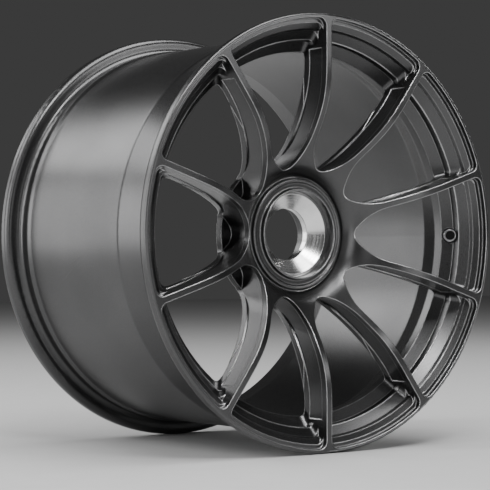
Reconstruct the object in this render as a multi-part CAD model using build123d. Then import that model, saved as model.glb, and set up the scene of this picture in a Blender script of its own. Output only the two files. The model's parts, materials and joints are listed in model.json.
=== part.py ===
"""Forged one-piece racing wheel, 18 x 10.5J, centre-lock, with its nut seat, drive bushes and valve.

Frame: millimetres, +Z up, the wheel's axis is Y, the street side faces -Y and the vehicle side +Y.
The origin is on the axis, halfway between the two rim lips.
"""
import os
from math import cos, hypot, radians, sin, sqrt

from build123d import *

# ---------------------------------------------------------------- rim
RIM_WIDTH = 266.7            # 10.5 in between the flanges
FLANGE_THICK = 15.05         # axial thickness of each flange
LIP_R = 235.6                # outer radius of the flanges
SEAT_R = 218.3               # 18 in bead seat radius at the flange
FLANGE_FILLET = 6.5          # bead seat to flange
SEAT_TAPER = 0.0875          # 5 degree bead seat
HUMP_Y = 117.0               # bead retaining hump, distance from the centre plane
HUMP_R = 219.6
BARREL_OUT_R = 217.0
BARREL_IN_R = 210.5
WELL_OUT_R = 205.0           # floor of the drop centre
WELL_IN_R = 197.7
WELL_Y = (-101.0, -93.0)     # floor of the drop centre, tyre side
RAMP_Y = -68.0               # where the drop centre ramp reaches the barrel
FLARE_Y = 106.0              # inner barrel starts to flare to the vehicle side

# ---------------------------------------------------------------- face and spokes
SPOKES = 10
PITCH = 360 / SPOKES
SPOKE_HALF = 3.5             # half width of a spoke's front face
FACE_PATH = [(63.5, -90.0), (73.0, -103.0), (90.0, -114.0), (117.0, -131.0), (150.0, -145.2)]
FACE_START = (0.5, -0.87)    # direction of that curve at the hub
FACE_FLAT_R = 186.0          # outside this radius the face is flush with the lip
REAR_PATH = [(162.0, -107.0), (131.0, -95.5), (107.0, -80.5), (90.0, -64.5)]
HUB_FACE_Y = -50.0           # mounting face on the vehicle side
HUB_FACE_R = 80.0

TIP_R = 73.0                 # inner end of a window at the face
TIP_ROUND = 15.0
SHOULDER_ROUND = 55.0
REAR_TIP_R = 79.0            # inner end of a window at the rear flange
REAR_HALF = 4.2              # half width of a spoke's rear flange
REAR_CORNER = 5.0

FRONT_FLANGE = 8.5           # depth of the flange at the face
REAR_FLANGE = 9.0            # depth of the flange at the rear
POCKET_END_R = 199.5         # side pockets stop here
WEB_HALF = (3.2, 1.9)        # half web at the front and at the rear of a side pocket
POCKET_TIP_R = (75.5, 64.5)
POCKET_Y = (-140.0, -58.0)   # axial range over which those two values run

# ---------------------------------------------------------------- stepped ring behind the lip
LIP_POCKET = (230.9, -142.3)             # radius and floor of the step inside the lip
BEAD_TOP_R = 226.0
BEAD_ROUND = 4.4
BEAD_FOOT = (217.5, -133.5)
BAND_FOOT = (209.6, -125.5)
LEG_TOP = (208.8, -117.0)
LEG_FOOT = (WELL_IN_R, -108.8)
LIP_CORNER = 9.0
STEP_CORNER = 7.0
OVERLAP = 1.0                            # each cutter reaches this far into the one before it

# ---------------------------------------------------------------- hub
REGISTER_R = 33.0            # centring bore on the vehicle side
INSERT_R = 47.6              # bore for the nut seat
SHOULDER_Y = -66.0           # shoulder that backs the nut seat
EDGE_Y = -97.7               # thin upstand around the nut seat
DISH_Y = -92.4               # dished floor between the upstand and the collar
COLLAR_Y = -94.4             # crest of the rounded collar
COLLAR_R = 60.6
BEAD_IN_R = 57.2
VALLEY_Y = -87.8             # groove around the collar
BORE_R = 28.5                # clear hole through the nut seat
CONE_R = 43.8                # large end of the nut cone
CONE_Y = (-86.1, -73.0)
PIN_PCD = 116.0
PIN_COUNT = 5
BUSH_R = 10.0
BUSH_BORE_R = 7.0
BUSH_LENGTH = 12.0

# ---------------------------------------------------------------- valve
VALVE_AT = (205.3, -114.4)   # radius and Y of the valve axis on the leg
VALVE_DIR = (-0.595, -0.804) # outward direction of the valve, radius and Y
SPOT_R = 8.8
SPOT_DEPTH = 1.3
WALL_T = 8.6                 # distance from the spot face to the tyre-side seat
VALVE_HOLE_R = 5.7
HEAD_R = 9.2
HEAD_T = 3.0
SEAL_T = 1.0
STEM_R = 4.9
STEM_TOP = 2.8
NECK_R = 3.9
NECK_TOP = 8.0
NUT_R = 7.3
NUT_TOP = 2.7
WASHER_R = 8.3
WASHER_T = 0.8
AIR_R = 1.7
CORE_R = 2.7
CORE_LOW = -3.0
CORE_TOP = 7.0
PIN_R = 0.6
POPPET_R = 1.7
SPRING_ROOM_R = 1.9
SPRING_Z = (1.0, 5.4)
CAP_R = 5.2
CAP_Z = (2.9, 10.4)
CAP_FLUTES = 16


def ring(points, rounds=()):
    """Revolve an outline given as (radius, y) points; rounds lists (index, fillet radius)."""
    face = make_face(Polyline(*points, close=True))
    for index, radius in rounds:
        corner = Vector(*points[index])
        face = fillet(face.vertices().sort_by_distance(corner)[0], radius)
    return revolve(face, Axis.Y)


def face_curve(depth):
    """Street-side curve of the spokes as (radius, y), moved back by this depth."""
    points = [(r, y + depth) for r, y in FACE_PATH]
    end = (FACE_FLAT_R, depth - RIM_WIDTH / 2 - FLANGE_THICK)
    return Spline(*points, end, tangents=[FACE_START, (1, 0)], tangent_scalars=[1, 1])


def rear_curve(depth):
    """Vehicle-side curve of the spokes, moved towards the street side by this depth."""
    return Spline(*[(r, y - depth) for r, y in [LEG_FOOT, *REAR_PATH, (HUB_FACE_R, HUB_FACE_Y)]])


def wheel_profile():
    """Half section of the forging before the windows are cut, X is the radius."""
    lip_y = RIM_WIDTH / 2 + FLANGE_THICK
    seat_y = RIM_WIDTH / 2
    hump_in = HUMP_Y - 6
    seat_end_r = SEAT_R - SEAT_TAPER * (seat_y - HUMP_Y - 3)
    outer = [
        (LIP_R, -lip_y), (LIP_R, -seat_y), (SEAT_R, -seat_y),
        (seat_end_r, -HUMP_Y - 3), (HUMP_R, -HUMP_Y), (BARREL_OUT_R, -hump_in),
        (WELL_OUT_R, WELL_Y[0]), (WELL_OUT_R, WELL_Y[1]), (BARREL_OUT_R, RAMP_Y),
        (BARREL_OUT_R, hump_in), (HUMP_R, HUMP_Y), (seat_end_r, HUMP_Y + 3),
        (SEAT_R, seat_y), (LIP_R, seat_y), (LIP_R, lip_y),
    ]
    inner = [
        (228.5, lip_y), (214.5, lip_y - 9), (BARREL_IN_R, FLARE_Y),
        (BARREL_IN_R, RAMP_Y + 2), (WELL_IN_R, WELL_Y[0] + 4), LEG_FOOT,
    ]
    edge_in, edge_out = (INSERT_R, EDGE_Y), (INSERT_R + 1.8, EDGE_Y)
    dish_in, dish_out = (INSERT_R + 3.0, DISH_Y), (BEAD_IN_R - 1.6, DISH_Y)
    bead_in, bead_out = (BEAD_IN_R, COLLAR_Y), (COLLAR_R, COLLAR_Y)
    valley = (COLLAR_R + 0.8, VALLEY_Y)
    hub = [
        (HUB_FACE_R, HUB_FACE_Y), (REGISTER_R, HUB_FACE_Y), (REGISTER_R, SHOULDER_Y),
        (INSERT_R, SHOULDER_Y), edge_in, edge_out, dish_in, dish_out, bead_in, bead_out,
        valley, FACE_PATH[0],
    ]
    flat = Line((FACE_FLAT_R, -lip_y), (LIP_R, -lip_y))
    section = make_face([Polyline(*outer, *inner), rear_curve(0), Polyline(*hub), face_curve(0), flat])
    rounds = [
        ((LIP_R, -lip_y), 2.6), ((LIP_R, -seat_y), 7.5), ((SEAT_R, -seat_y), FLANGE_FILLET),
        ((HUMP_R, -HUMP_Y), 3.0), ((BARREL_OUT_R, -hump_in), 3.0),
        ((WELL_OUT_R, WELL_Y[0]), 3.0), ((WELL_OUT_R, WELL_Y[1]), 8.0),
        ((BARREL_OUT_R, RAMP_Y), 10.0), ((BARREL_OUT_R, hump_in), 3.0), ((HUMP_R, HUMP_Y), 3.0),
        ((SEAT_R, seat_y), FLANGE_FILLET), ((LIP_R, seat_y), 7.0), ((LIP_R, lip_y), 4.0),
        ((228.5, lip_y), 3.0), ((BARREL_IN_R, RAMP_Y + 2), 12.0), ((WELL_IN_R, WELL_Y[0] + 4), 10.0),
        ((REGISTER_R, HUB_FACE_Y), 1.0), (edge_in, 0.6), (edge_out, 0.6), (dish_in, 1.0),
        (dish_out, 1.0), (bead_in, 1.2), (bead_out, 1.6), (valley, 1.2), ((HUB_FACE_R, HUB_FACE_Y), 1.0),
    ]
    for point, radius in rounds:
        section = fillet(section.vertices().sort_by_distance(Vector(*point))[0], radius)
    return section


def across(y):
    """Plane square to the wheel's axis at this Y; its X axis is the wheel's X axis."""
    return Plane(origin=(0, y, 0), x_dir=(1, 0, 0), z_dir=(0, 1, 0))


def window_face(half, tip_r, tip_round, shoulder, outer_r, corner=0.0):
    """Outline of one window: two sides along the spokes, a basket-handle inner end."""
    a = radians(PITCH / 2)
    along, normal = (cos(a), sin(a)), (-sin(a), cos(a))
    tip_c = tip_r + tip_round
    depth = half + shoulder - tip_c * sin(a)
    run = tip_c * cos(a) + sqrt((shoulder - tip_round) ** 2 - depth ** 2)
    side_end = [run * along[i] - half * normal[i] for i in (0, 1)]
    centre = [run * along[i] - (half + shoulder) * normal[i] for i in (0, 1)]
    toward = hypot(tip_c - centre[0], centre[1])
    joint = [tip_c + tip_round * (tip_c - centre[0]) / toward, -tip_round * centre[1] / toward]
    mid = [(side_end[i] + joint[i]) / 2 - centre[i] for i in (0, 1)]
    mid_len = hypot(*mid)
    bulge = [centre[i] + mid[i] * shoulder / mid_len for i in (0, 1)]
    reach = sqrt(outer_r ** 2 - half ** 2)
    far = [reach * along[i] - half * normal[i] for i in (0, 1)]

    def flip(point):
        return (point[0], -point[1])

    edges = [
        Line(tuple(far), tuple(side_end)),
        ThreePointArc(tuple(side_end), tuple(bulge), tuple(joint)),
        ThreePointArc(tuple(joint), (tip_r, 0), flip(joint)),
        ThreePointArc(flip(joint), flip(bulge), flip(side_end)),
        Line(flip(side_end), flip(far)),
        ThreePointArc(flip(far), (outer_r, 0), tuple(far)),
    ]
    face = make_face(edges)
    if corner:
        face = fillet(face.vertices().sort_by(Axis.X)[-2:], corner)
    return face


def front_window(outer_r, corner=0.0):
    return window_face(SPOKE_HALF, TIP_R, TIP_ROUND, SHOULDER_ROUND, outer_r, corner)


def side_edges(solid, least_r):
    """Edges where a window's two side walls meet the ring behind the lip."""
    a = radians(PITCH / 2)
    picked = ShapeList()
    for edge in solid.edges():
        points = [edge @ 0, edge @ 0.5, edge @ 1]
        offsets = [p.X * sin(a) - abs(p.Z) * cos(a) for p in points]
        on_side = all(abs(offset - SPOKE_HALF) < 0.02 for offset in offsets)
        if on_side and hypot(points[1].X, points[1].Z) > least_r:
            picked.append(edge)
    return picked


def stepped_cut():
    """What is milled from the street side: lip step, rounded bead, sloping band and leg."""
    start = -165.0
    lip = extrude(across(start) * front_window(LIP_POCKET[0], LIP_CORNER), LIP_POCKET[1] - start)
    floor_edge = lip.faces().sort_by(Axis.Y)[-1].edges()
    lip = fillet(floor_edge, 1.0)

    bead = ring([(30, start), (BEAD_TOP_R, start), (BEAD_TOP_R, LIP_POCKET[1]),
                 (BEAD_TOP_R - BEAD_ROUND * 1.35, LIP_POCKET[1] + BEAD_ROUND),
                 BEAD_FOOT, (30, BEAD_FOOT[1])])
    bead = bead & extrude(across(start) * front_window(BEAD_TOP_R, LIP_CORNER), 60)

    slope = (BEAD_FOOT[0] - BAND_FOOT[0]) / (BAND_FOOT[1] - BEAD_FOOT[1])
    band_high = (BEAD_FOOT[0] + 8 * slope, BEAD_FOOT[1] - 8)
    band_top = (BEAD_FOOT[0] + OVERLAP * slope, BEAD_FOOT[1] - OVERLAP)
    band = ring([(30, band_high[1]), band_high, BAND_FOOT, (30, BAND_FOOT[1])])
    band = band & extrude(across(start) * front_window(240), 80)
    band = fillet(side_edges(band, 212), STEP_CORNER)
    band = band & ring([(20, band_top[1]), band_top, BAND_FOOT, (20, BAND_FOOT[1])])

    leg_run = LEG_FOOT[0] - LEG_TOP[0]
    leg_rise = LEG_FOOT[1] - LEG_TOP[1]
    leg_high = (LEG_TOP[0] - 1.3 * leg_run, LEG_TOP[1] - 1.3 * leg_rise)
    leg = ring([(30, leg_high[1]), leg_high, LEG_FOOT, (30, LEG_FOOT[1])])
    leg = leg & extrude(across(start) * front_window(240), 80)
    leg = fillet(side_edges(leg, 199), STEP_CORNER)
    leg = leg & extrude(across(start) * front_window(LEG_TOP[0], STEP_CORNER), 80)
    return [lip, bead, band, leg]


def curve_gap(front_depth, rear_depth, outer_r):
    """Ring between the face curve moved in by front_depth and the rear curve moved in by rear_depth."""
    front, rear = face_curve(front_depth), rear_curve(rear_depth)
    start, rim_front, rim_rear, hub_rear = front @ 0, front @ 1, rear @ 0, rear @ 1
    rim_side = Polyline(rim_front, (outer_r, rim_front.Y), (outer_r, rim_rear.Y), rim_rear)
    inner_r = start.X - 3
    hub_side = Polyline(hub_rear, (inner_r, hub_rear.Y), (inner_r, start.Y), start)
    return revolve(make_face([front, rim_side, rear, hub_side]), Axis.Y)


def behind_curve(depth):
    """Everything behind the rear curve moved towards the street side by this depth."""
    curve = rear_curve(depth)
    start, end = curve @ 0, curve @ 1
    close = Polyline(end, (30, end.Y), (30, -30), (start.X, -30), start)
    return revolve(make_face([curve, close]), Axis.Y)


def spoke_pocket():
    """Side pockets of one window: a web that thins towards the rear between two flanges."""
    faces = []
    for k in (0, 1):
        grow = SPOKE_HALF - WEB_HALF[k]
        outline = window_face(WEB_HALF[k], POCKET_TIP_R[k], TIP_ROUND + grow, SHOULDER_ROUND + grow,
                              POCKET_END_R)
        faces.append(across(POCKET_Y[k]) * outline)
    grown = loft(faces)
    return grown & curve_gap(FRONT_FLANGE, REAR_FLANGE, POCKET_END_R + 1)


def through_cut():
    """Front part of the window down to the rear flange, then the rear flange's own opening."""
    front = extrude(across(-165) * front_window(POCKET_END_R), 115)
    front = front & curve_gap(-40, REAR_FLANGE, POCKET_END_R)
    a = radians(PITCH / 2)
    apex = REAR_HALF / sin(a)
    reach = 260
    wedge = make_face(Polyline((apex, 0), (reach * cos(a) + REAR_HALF * sin(a), reach * sin(a)
                               - REAR_HALF * cos(a)), (reach * cos(a) + REAR_HALF * sin(a),
                               REAR_HALF * cos(a) - reach * sin(a)), close=True))
    band = make_face(Circle(WELL_IN_R).edges()) - make_face(Circle(REAR_TIP_R).edges())
    opening = wedge & band
    opening = fillet(opening.vertices(), REAR_CORNER)
    rear = extrude(across(-165) * opening, 130) & behind_curve(REAR_FLANGE)
    return [front, rear]


def drive_pin_angles():
    """Turn about the wheel's axis of each drive pin hole; each is behind a spoke."""
    return [k * 360 / PIN_COUNT for k in range(PIN_COUNT)]


def cylinder_y(radius, y0, y1):
    return extrude(across(y0) * Circle(radius), y1 - y0)


def valve_frame():
    """Valve frame: origin where its axis meets the leg, Z out of the wheel along the valve."""
    return Plane(origin=(VALVE_AT[0], VALVE_AT[1], 0), x_dir=(0, 0, 1),
                 z_dir=(VALVE_DIR[0], VALVE_DIR[1], 0))


def valve_ring(outer, inner, low, high):
    """Round piece in the valve frame between two heights along the valve."""
    profile = Circle(outer) - Circle(inner) if inner else Circle(outer)
    return extrude(Pos(0, 0, low) * profile, high - low)


def window_cutter():
    """Everything that is cut away to make one window, as one solid."""
    lip, *others = [*stepped_cut(), spoke_pocket(), *through_cut()]
    for cut in others:
        lip = lip + cut
    return lip


def wheel_forging():
    body = revolve(wheel_profile(), Axis.Y)
    window = window_cutter()
    for k in range(SPOKES):
        body = body - Rot(0, k * PITCH, 0) * window
    for angle in drive_pin_angles():
        hole = Pos(0, 0, PIN_PCD / 2) * cylinder_y(BUSH_R, HUB_FACE_Y - BUSH_LENGTH, HUB_FACE_Y + 1)
        body = body - Rot(0, angle, 0) * hole
    frame = valve_frame()
    body = body - frame * valve_ring(VALVE_HOLE_R, 0, -30, 10)
    body = body - frame * valve_ring(SPOT_R, 0, -SPOT_DEPTH, 12)
    body = body - frame * valve_ring(10.5, 0, -22, -WALL_T)
    return body


def nut_seat_insert():
    clearance = 0.02
    points = [
        (BORE_R, SHOULDER_Y), (INSERT_R - clearance, SHOULDER_Y),
        (INSERT_R - clearance, CONE_Y[0]), (CONE_R, CONE_Y[0]), (BORE_R, CONE_Y[1]),
    ]
    return ring(points, [(2, 0.6), (3, 0.4), (4, 0.8)])


def drive_bush():
    profile = [
        (BUSH_BORE_R, HUB_FACE_Y - BUSH_LENGTH), (BUSH_R - 0.02, HUB_FACE_Y - BUSH_LENGTH),
        (BUSH_R - 0.02, HUB_FACE_Y), (BUSH_BORE_R, HUB_FACE_Y),
    ]
    return ring(profile, [(1, 0.4), (2, 0.4), (3, 0.8)])


def valve_parts():
    """Flush valve, all pieces coaxial; heights run along the valve's own axis."""
    frame = valve_frame()
    seat = -WALL_T
    body = valve_ring(HEAD_R, 0, seat - SEAL_T - HEAD_T, seat - SEAL_T)
    body += valve_ring(STEM_R, 0, seat - SEAL_T, STEM_TOP)
    body += valve_ring(NECK_R, 0, STEM_TOP, NECK_TOP)
    body -= valve_ring(CORE_R, 0, CORE_LOW - 4, NECK_TOP + 1)
    body -= valve_ring(AIR_R, 0, -30, 0)

    nut = valve_ring(NUT_R, STEM_R + 0.02, WASHER_T - SPOT_DEPTH, NUT_TOP)
    nut = chamfer(nut.edges().group_by(Axis.Z)[-1].sort_by(SortBy.LENGTH)[-1], 0.5)
    for angle in (0, 90, 180, 270):
        nut -= Rot(0, 0, angle) * Pos(NUT_R, 0, NUT_TOP) * Box(1.8, 1.8, 1.6)

    shell = valve_ring(CORE_R - 0.02, PIN_R + 0.05, CORE_LOW, CORE_TOP)
    shell -= valve_ring(SPRING_ROOM_R, 0, SPRING_Z[0], CORE_TOP + 1)

    pin = valve_ring(PIN_R, 0, CORE_LOW - 2.2, CORE_TOP + 0.4)
    pin += valve_ring(POPPET_R, 0, CORE_LOW - 1.8, CORE_LOW - 0.8)
    pin += valve_ring(SPRING_ROOM_R - 0.1, 0, SPRING_Z[1], SPRING_Z[1] + 0.6)

    coil_r = (PIN_R + SPRING_ROOM_R) / 2
    coil_path = Pos(0, 0, SPRING_Z[0] + 0.2) * Helix(0.7, SPRING_Z[1] - SPRING_Z[0] - 0.4, coil_r)
    wire = Plane(origin=coil_path @ 0, z_dir=coil_path % 0) * Circle(0.18)
    spring = sweep(wire, coil_path, is_frenet=True)

    cap = valve_ring(CAP_R, 0, CAP_Z[0], CAP_Z[1])
    cap = fillet(cap.edges().group_by(Axis.Z)[-1], 0.8)
    cap -= valve_ring(NECK_R + 0.05, 0, CAP_Z[0] - 1, NECK_TOP + SEAL_T)
    for k in range(CAP_FLUTES):
        flute = Pos(CAP_R + 0.25, 0, 0) * valve_ring(0.55, 0, CAP_Z[0] - 1, CAP_Z[1] - 1.4)
        cap -= Rot(0, 0, k * 360 / CAP_FLUTES) * flute

    local = {
        "valve_body": body,
        "valve_seal": valve_ring(HEAD_R - 0.6, STEM_R + 0.02, seat - SEAL_T, seat),
        "valve_washer": valve_ring(WASHER_R, STEM_R + 0.02, -SPOT_DEPTH, WASHER_T - SPOT_DEPTH),
        "valve_nut": nut,
        "valve_core_shell": shell,
        "valve_core_pin": pin,
        "valve_core_seal": valve_ring(POPPET_R, PIN_R, CORE_LOW - 0.8, CORE_LOW - 0.02),
        "valve_core_spring": spring,
        "valve_cap": cap,
        "valve_cap_seal": valve_ring(NECK_R - 0.1, 0, NECK_TOP + 0.02, NECK_TOP + SEAL_T),
    }
    return {name: frame * shape for name, shape in local.items()}


def build():
    parts = {"wheel_forging": wheel_forging(), "nut_seat_insert": nut_seat_insert()}
    for number, angle in enumerate(drive_pin_angles(), start=1):
        place = Rot(0, angle, 0) * Pos(0, 0, PIN_PCD / 2)
        parts[f"drive_bush_{number}"] = place * drive_bush()
    parts.update(valve_parts())
    return parts


if __name__ == "__main__":
    os.makedirs("parts", exist_ok=True)
    for name, shape in build().items():
        export_step(shape, f"parts/{name}.step")
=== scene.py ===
"""Forged centre-lock racing wheel: finishes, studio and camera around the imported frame."""
import json
import math

import bpy
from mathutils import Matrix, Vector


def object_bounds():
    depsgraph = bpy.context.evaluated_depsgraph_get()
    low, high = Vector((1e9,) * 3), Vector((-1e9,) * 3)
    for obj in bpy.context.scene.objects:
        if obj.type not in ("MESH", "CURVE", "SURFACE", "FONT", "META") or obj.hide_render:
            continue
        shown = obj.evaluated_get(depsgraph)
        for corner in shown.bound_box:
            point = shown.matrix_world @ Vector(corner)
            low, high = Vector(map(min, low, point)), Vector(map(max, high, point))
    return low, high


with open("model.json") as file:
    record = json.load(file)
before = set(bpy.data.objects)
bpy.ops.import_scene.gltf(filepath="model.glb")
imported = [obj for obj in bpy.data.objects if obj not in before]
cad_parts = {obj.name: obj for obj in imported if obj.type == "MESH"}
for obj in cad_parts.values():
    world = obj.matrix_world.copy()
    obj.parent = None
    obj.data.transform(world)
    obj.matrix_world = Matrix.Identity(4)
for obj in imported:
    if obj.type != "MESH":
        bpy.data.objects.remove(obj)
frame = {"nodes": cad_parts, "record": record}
cad_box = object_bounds()

# ------------------------------------------------------------------ camera
CAMERA_AT = (-1.2370, -1.6739, -0.0331)
CAMERA_YAW = 36.40      # degrees from +Y towards +X
CAMERA_PITCH = 0.60     # degrees above level
LENS = 134.76           # millimetres, as is the sensor
SENSOR = 36.0
FAR_CLIP = 100

# ------------------------------------------------------------------ floor
FLOOR_SIZE = 14.0
FLOOR_DARK = (0.50, 0.50, 0.50)
FLOOR_LIGHT = (0.54, 0.54, 0.54)

# ------------------------------------------------------------------ surface detail
# lengths are in metres and noise scales are per metre
EDGE_ROUND = 0.0003     # usual edge rounding
FORGED_EDGE = 0.0017    # edge rounding of the coated forging
EDGE_SAMPLES = 6
EDGE_OPEN = 0.998       # normal against rounded normal where the painted edge highlight starts
EDGE_FULL = 0.92        # the same where it is complete
HIGHLIGHT_PATCHES = 90.0     # noise scale that breaks the painted edge highlight up into patches
EDGE_HIGHLIGHT_GAIN = 6.5       # how much lighter the painted edge highlight is than the coat
FLAKE_SCALE = 2600.0    # metallic flake in the coat
FLAKE_DEPTH = 0.00002
CLOUD_SCALE = 9.0       # slow change of tone over the coat
TURNING_PITCH = 0.00035
TURNING_DEPTH = 0.000008
HANDLING_SCALE = 60.0   # faint duller patches on bare metal
GRAIN_SCALE = 1500.0    # grain of rubber and plastic
GRAIN_DEPTH = 0.00003
FLOOR_SCALE = 30.0


def material(name):
    mat = bpy.data.materials.new(name)
    mat.use_nodes = True
    tree = mat.node_tree
    shader = tree.nodes["Principled BSDF"]
    return mat, tree, shader


def node(tree, kind, **values):
    made = tree.nodes.new(kind)
    for key, value in values.items():
        if key in made.inputs:
            made.inputs[key].default_value = value
        else:
            setattr(made, key, value)
    return made


def ramp(tree, source, low, high, out_low, out_high):
    """Map a value from low..high to out_low..out_high."""
    made = tree.nodes.new("ShaderNodeMapRange")
    made.inputs["From Min"].default_value = low
    made.inputs["From Max"].default_value = high
    made.inputs["To Min"].default_value = out_low
    made.inputs["To Max"].default_value = out_high
    tree.links.new(source, made.inputs["Value"])
    return made.outputs["Result"]


def noise(tree, scale, detail):
    coords = tree.nodes.new("ShaderNodeTexCoord")
    made = node(tree, "ShaderNodeTexNoise", Scale=scale, Detail=detail)
    tree.links.new(coords.outputs["Object"], made.inputs["Vector"])
    return made.outputs["Fac"]


def mix_node(tree, fac, second):
    """Colour mix by fac towards the second colour; the first is set by the caller."""
    made = node(tree, "ShaderNodeMix", data_type="RGBA")
    made.inputs["B"].default_value = (*second, 1)
    tree.links.new(fac, made.inputs["Factor"])
    return made


def blend_colour(tree, fac, first, second):
    made = mix_node(tree, fac, second)
    made.inputs["A"].default_value = (*first, 1)
    return made.outputs["Result"]


def lighten(tree, fac, colour, light):
    """Blend a colour socket towards a lighter colour."""
    made = mix_node(tree, fac, light)
    tree.links.new(colour, made.inputs["A"])
    return made.outputs["Result"]


def bump(tree, height, distance, strength, normal=None):
    made = node(tree, "ShaderNodeBump", Distance=distance, Strength=strength)
    tree.links.new(height, made.inputs["Height"])
    if normal is not None:
        tree.links.new(normal, made.inputs["Normal"])
    return made.outputs["Normal"]


def soft_edges(tree, radius):
    """Shading normal that rounds every sharp edge by this radius."""
    made = node(tree, "ShaderNodeBevel", Radius=radius, samples=EDGE_SAMPLES)
    return made.outputs["Normal"]


def painted_edge_highlight(tree, rounded, strength):
    """Painted highlight mask: 0 on open surfaces, up to strength along the edges, broken up by
    noise.
    """
    surface = tree.nodes.new("ShaderNodeNewGeometry")
    turn = node(tree, "ShaderNodeVectorMath", operation="DOT_PRODUCT")
    tree.links.new(rounded, turn.inputs[0])
    tree.links.new(surface.outputs["Normal"], turn.inputs[1])
    on_edge = ramp(tree, turn.outputs["Value"], EDGE_OPEN, EDGE_FULL, 0.0, strength)
    patch = ramp(tree, noise(tree, HIGHLIGHT_PATCHES, 3.0), 0.3, 0.7, 0.55, 1.0)
    made = node(tree, "ShaderNodeMath", operation="MULTIPLY")
    tree.links.new(on_edge, made.inputs[0])
    tree.links.new(patch, made.inputs[1])
    return made.outputs["Value"]


def satin_coat(name, dark, light, metallic, rough, edge=EDGE_ROUND, highlight_strength=0.5):
    """Metallic coat with fine flake, slow tone change and a painted highlight that lightens its
    edges.
    """
    mat, tree, shader = material(name)
    flake = noise(tree, FLAKE_SCALE, 1.0)
    cloud = noise(tree, CLOUD_SCALE, 3.0)
    rounded = soft_edges(tree, edge)
    tone = blend_colour(tree, ramp(tree, cloud, 0.35, 0.65, 0.0, 1.0), dark, light)
    # painted highlight: the base colour is lightened along edges so that they read as bright
    # lines
    highlight_colour = tuple(min(1.0, EDGE_HIGHLIGHT_GAIN * c) for c in light)
    tone = lighten(tree, painted_edge_highlight(tree, rounded, highlight_strength), tone, highlight_colour)
    tree.links.new(tone, shader.inputs["Base Color"])
    shader.inputs["Metallic"].default_value = metallic
    gloss = ramp(tree, flake, 0.3, 0.7, rough - 0.03, rough + 0.04)
    tree.links.new(gloss, shader.inputs["Roughness"])
    tree.links.new(bump(tree, flake, FLAKE_DEPTH, 0.25, rounded), shader.inputs["Normal"])
    return mat


def turned_metal(name, colour, rough, pitch=TURNING_PITCH):
    """Machined metal with fine turning lines around the wheel's axis."""
    mat, tree, shader = material(name)
    coords = tree.nodes.new("ShaderNodeTexCoord")
    split = tree.nodes.new("ShaderNodeSeparateXYZ")
    flat = node(tree, "ShaderNodeCombineXYZ")
    radius = node(tree, "ShaderNodeVectorMath", operation="LENGTH")
    along = node(tree, "ShaderNodeMath", operation="ADD")
    tree.links.new(coords.outputs["Object"], split.inputs[0])
    tree.links.new(split.outputs["X"], flat.inputs["X"])
    tree.links.new(split.outputs["Z"], flat.inputs["Z"])
    tree.links.new(flat.outputs[0], radius.inputs[0])
    tree.links.new(split.outputs["Y"], along.inputs[0])
    tree.links.new(radius.outputs["Value"], along.inputs[1])
    lines = node(tree, "ShaderNodeTexNoise", noise_dimensions="1D", Scale=1.0 / pitch, Detail=1.0)
    tree.links.new(along.outputs["Value"], lines.inputs["W"])
    grooves = lines.outputs["Fac"]
    handled = ramp(tree, noise(tree, HANDLING_SCALE, 3.0), 0.4, 0.7, 0.0, 1.0)
    dull = tuple(0.9 * c for c in colour)
    tree.links.new(blend_colour(tree, handled, colour, dull), shader.inputs["Base Color"])
    shader.inputs["Metallic"].default_value = 1.0
    gloss = ramp(tree, grooves, 0.3, 0.7, rough - 0.04, rough + 0.05)
    tree.links.new(gloss, shader.inputs["Roughness"])
    rounded = soft_edges(tree, EDGE_ROUND)
    tree.links.new(bump(tree, grooves, TURNING_DEPTH, 0.25, rounded), shader.inputs["Normal"])
    return mat


def moulded(name, colour, rough, shine=0.5):
    """Rubber or plastic with a fine moulded grain."""
    mat, tree, shader = material(name)
    shader.inputs["Specular IOR Level"].default_value = shine
    speck = noise(tree, GRAIN_SCALE, 2.0)
    low = tuple(0.8 * c for c in colour)
    high = tuple(1.25 * c for c in colour)
    tree.links.new(blend_colour(tree, speck, low, high), shader.inputs["Base Color"])
    gloss = ramp(tree, speck, 0.3, 0.7, rough - 0.06, rough + 0.08)
    tree.links.new(gloss, shader.inputs["Roughness"])
    tree.links.new(bump(tree, speck, GRAIN_DEPTH, 0.4), shader.inputs["Normal"])
    return mat


# finish of each material slot in the record; colours are linear
FINISHES = {
    # the forging's coat carries the strongest painted highlight along its edges
    "forging": satin_coat(
        "gunmetal_coat", (0.084, 0.084, 0.085), (0.104, 0.104, 0.105), 0.95, 0.28,
        edge=FORGED_EDGE, highlight_strength=1.0),
    "nut_seat": turned_metal("turned_nut_seat", (0.90, 0.90, 0.90), 0.20),
    "bush": turned_metal("ground_bush", (0.42, 0.42, 0.43), 0.3),
    "valve_metal": satin_coat(
        "dark_anodised", (0.05, 0.05, 0.051), (0.06, 0.06, 0.061), 0.8, 0.35),
    "valve_nut": satin_coat(
        "grey_anodised", (0.58, 0.58, 0.59), (0.64, 0.64, 0.65), 0.9, 0.30),
    "washer": satin_coat(
        "black_zinc", (0.02, 0.02, 0.021), (0.03, 0.03, 0.032), 0.7, 0.4),
    "core_brass": turned_metal("turned_brass", (0.62, 0.45, 0.2), 0.3, pitch=0.0002),
    "spring_steel": turned_metal("drawn_wire", (0.5, 0.5, 0.5), 0.3, pitch=0.0002),
    "seal": moulded("black_rubber", (0.02, 0.02, 0.02), 0.7),
    "cap": moulded("black_plastic", (0.004, 0.004, 0.004), 0.5, shine=0.12),
}

slot_of = {row["node"]: row["material_slot"] for row in frame["record"]["subparts"]}
for name, obj in frame["nodes"].items():
    obj.data.materials.clear()
    obj.data.materials.append(FINISHES[slot_of[name]])


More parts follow.
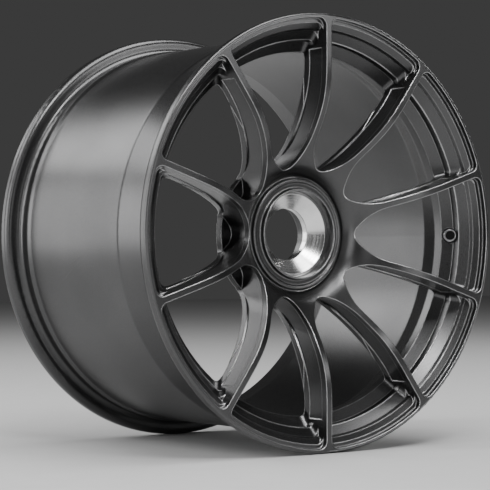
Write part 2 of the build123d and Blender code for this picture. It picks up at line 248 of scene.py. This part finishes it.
def floor():
    """Square pale floor, level with the lowest point of the wheel."""
    low = cad_box[0][2]
    half = FLOOR_SIZE / 2
    mesh = bpy.data.meshes.new("floor")
    corners = [(-half, -half, low), (half, -half, low), (half, half, low), (-half, half, low)]
    mesh.from_pydata(corners, [], [(0, 1, 2, 3)])
    obj = bpy.data.objects.new("floor", mesh)
    bpy.context.scene.collection.objects.link(obj)
    mat, tree, shader = material("pale_floor")
    shade = blend_colour(tree, noise(tree, FLOOR_SCALE, 4.0), FLOOR_DARK, FLOOR_LIGHT)
    tree.links.new(shade, shader.inputs["Base Color"])
    shader.inputs["Roughness"].default_value = 0.85
    mesh.materials.append(mat)


# ------------------------------------------------------------------ studio light
# name: (degrees from the street side towards +X, degrees up, width and height in metres, watts)
SOFTBOXES = {
    "front": (0, 3, 1.4, 1.4, 13),
    "front_right": (30, 20, 1.2, 1.0, 16),
    "key": (-26, 50, 1.1, 0.7, 44),
    "top": (40, 76, 2.4, 1.8, 86),
    "edge_strip": (-56, 12, 0.6, 2.2, 13),
    "right": (97, 22, 0.6, 1.6, 16),
    "left": (-98, 8, 1.6, 1.6, 36),
    "left_top": (-100, 40, 1.6, 1.2, 34),
    "rear_left": (-143, 5, 1.4, 1.4, 18),
    "rear_left_top": (-150, 32, 1.4, 1.2, 26),
}
LIGHT_DISTANCE = 3.0
ROOM_LIGHT = 0.05


def softbox(name, turn, rise, width, height, power):
    """Rectangular lamp that faces the wheel from this direction."""
    data = bpy.data.lights.new(name, "AREA")
    data.shape = "RECTANGLE"
    data.size = width
    data.size_y = height
    data.energy = power
    obj = bpy.data.objects.new(name, data)
    turn, rise = math.radians(turn), math.radians(rise)
    level = LIGHT_DISTANCE * math.cos(rise)
    height_up = LIGHT_DISTANCE * math.sin(rise)
    obj.location = (level * math.sin(turn), -level * math.cos(turn), height_up)
    obj.rotation_euler = (math.pi / 2 - rise, 0, turn)
    bpy.context.scene.collection.objects.link(obj)


def studio():
    """Even white room light and the softboxes."""
    world = bpy.data.worlds.new("studio")
    world.use_nodes = True
    back = world.node_tree.nodes["Background"]
    back.inputs["Color"].default_value = (1, 1, 1, 1)
    back.inputs["Strength"].default_value = ROOM_LIGHT
    bpy.context.scene.world = world
    for name, (turn, rise, width, height, power) in SOFTBOXES.items():
        softbox(name, turn, rise, width, height, power)


def camera():
    data = bpy.data.cameras.new("camera")
    data.lens = LENS
    data.sensor_width = SENSOR
    data.clip_end = FAR_CLIP
    obj = bpy.data.objects.new("camera", data)
    obj.location = CAMERA_AT
    obj.rotation_euler = (math.radians(90 + CAMERA_PITCH), 0, -math.radians(CAMERA_YAW))
    bpy.context.scene.collection.objects.link(obj)
    bpy.context.scene.camera = obj


floor()
studio()
camera()
